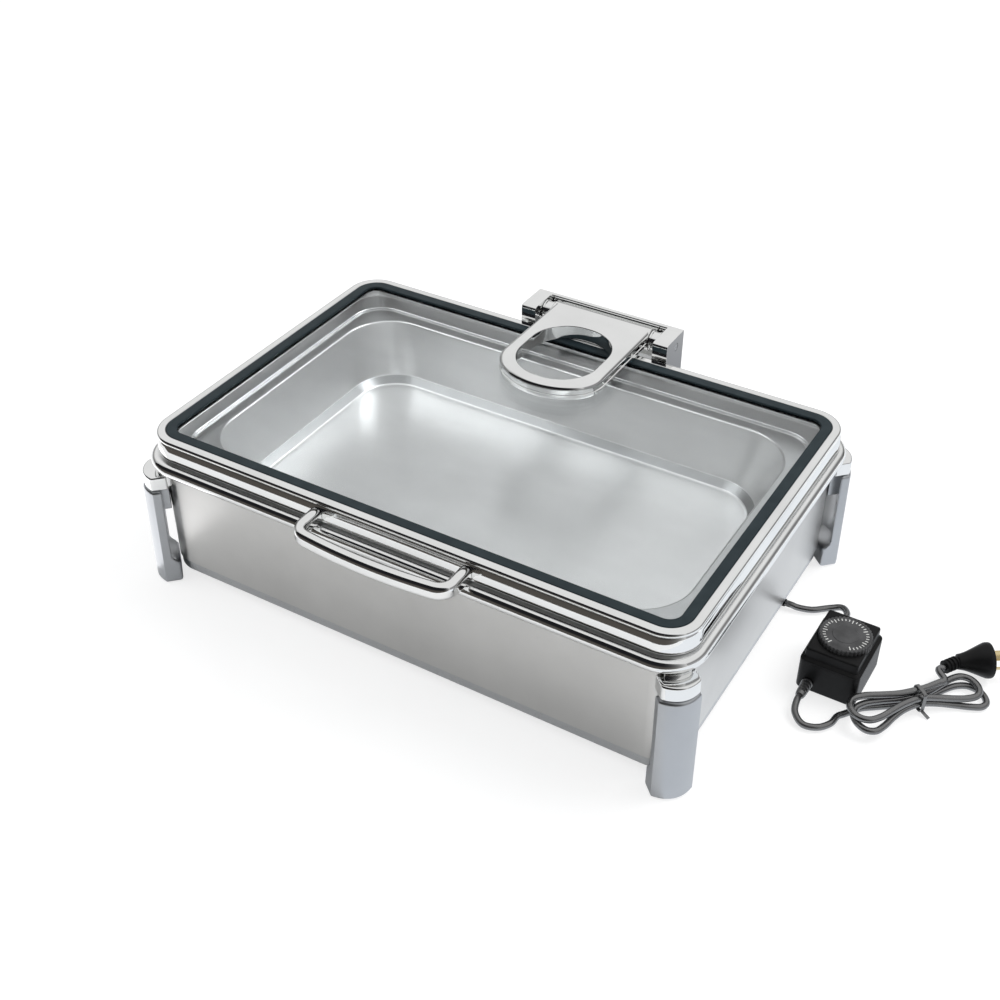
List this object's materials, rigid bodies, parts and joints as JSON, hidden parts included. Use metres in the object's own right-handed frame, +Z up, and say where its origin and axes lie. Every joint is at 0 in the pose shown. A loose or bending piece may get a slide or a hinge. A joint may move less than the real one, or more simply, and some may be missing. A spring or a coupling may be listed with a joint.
{
  "type": "electric buffet warmer",
  "caption": "Rectangular countertop buffet warmer with a glass lid on a damped rear hinge, a front handle, a lift-out food pan over a heated water pan, and a thermostat box on its cord",
  "frame": {"origin": "on the floor, under the middle of the warmer without its cord, control box and plug", "axes": "+X to the right along the length, -Y to the front where the lid handle is, +Z up"},
  "size_m": [0.8038, 0.464, 0.1893],
  "materials": {
    "polished_steel": "mirror polished stainless steel and chrome",
    "panel_steel": "satin mirror stainless steel",
    "satin_steel": "satin, bead blasted",
    "dull_steel": "dull zinc plated",
    "lid_glass": "clear, slightly grey, polished",
    "seal_rubber": "matt slate grey",
    "black_plastic": "matt black",
    "cord_rubber": "black flexible sheath",
    "pale_plastic": "matt cream",
    "pin_brass": "bright"
  },
  "bodies": {
    "base": {"water_pan": "polished_steel", "hinge_bracket": "polished_steel", "hinge_damper_left": "polished_steel", "hinge_damper_right": "polished_steel", "leg_cap_front_right": "polished_steel", "leg_front_right": "satin_steel", "leg_bolt_front_right": "dull_steel", "leg_cap_rear_right": "polished_steel", "leg_rear_right": "satin_steel", "leg_bolt_rear_right": "dull_steel", "leg_cap_rear_left": "polished_steel", "leg_rear_left": "satin_steel", "leg_bolt_rear_left": "dull_steel", "leg_cap_front_left": "polished_steel", "leg_front_left": "satin_steel", "leg_bolt_front_left": "dull_steel", "casing": "panel_steel", "base_pan": "satin_steel", "heating_element": "dull_steel", "element_clamp_left": "dull_steel", "element_clamp_right": "dull_steel", "heat_shield": "dull_steel", "hinge_pin": "dull_steel", "hinge_bolt_left": "dull_steel", "hinge_bolt_right": "dull_steel", "thermal_cutout": "black_plastic", "cord_outlet": "black_plastic", "control_base": "black_plastic", "control_cover": "black_plastic", "thermostat": "black_plastic", "plug": "black_plastic", "terminal_block": "pale_plastic", "earth_screw": "pin_brass", "cord_grip_in": "cord_rubber", "cord_grip_out": "cord_rubber", "lead_in": "cord_rubber", "lead_out": "cord_rubber", "cord_hank": "cord_rubber", "lead_to_plug": "cord_rubber", "cord_tie": "cord_rubber", "plug_pin_1": "pin_brass", "plug_pin_2": "pin_brass", "plug_pin_3": "pin_brass"},
    "lid": {"lid_frame": "polished_steel", "lid_glass": "lid_glass", "lid_gasket": "seal_rubber", "lid_handle": "polished_steel", "handle_screw_left": "dull_steel", "handle_screw_right": "dull_steel", "hinge_tongue": "polished_steel", "tongue_screw_left": "dull_steel", "tongue_screw_right": "dull_steel"},
    "food_pan": {"food_pan": "satin_steel"},
    "dial": {"control_dial": "black_plastic", "dial_shaft": "dull_steel"}
  },
  "joints": [
    {"name": "lid_hinge", "type": "hinge", "parent": "base", "child": "lid", "pos_m": [0, 0.2145, 0.1773], "axis": [-1, 0, 0], "range_deg": [0, 90]},
    {"name": "food_pan_lift", "type": "slide", "parent": "base", "child": "food_pan", "axis": [0, 0, 1], "range_m": [0, 0.014]},
    {"name": "dial_turn", "type": "hinge", "parent": "base", "child": "dial", "pos_m": [0.3614, 0.023, 0.046], "axis": [0, 0, -1], "range_deg": [0, 270]}
  ]
}
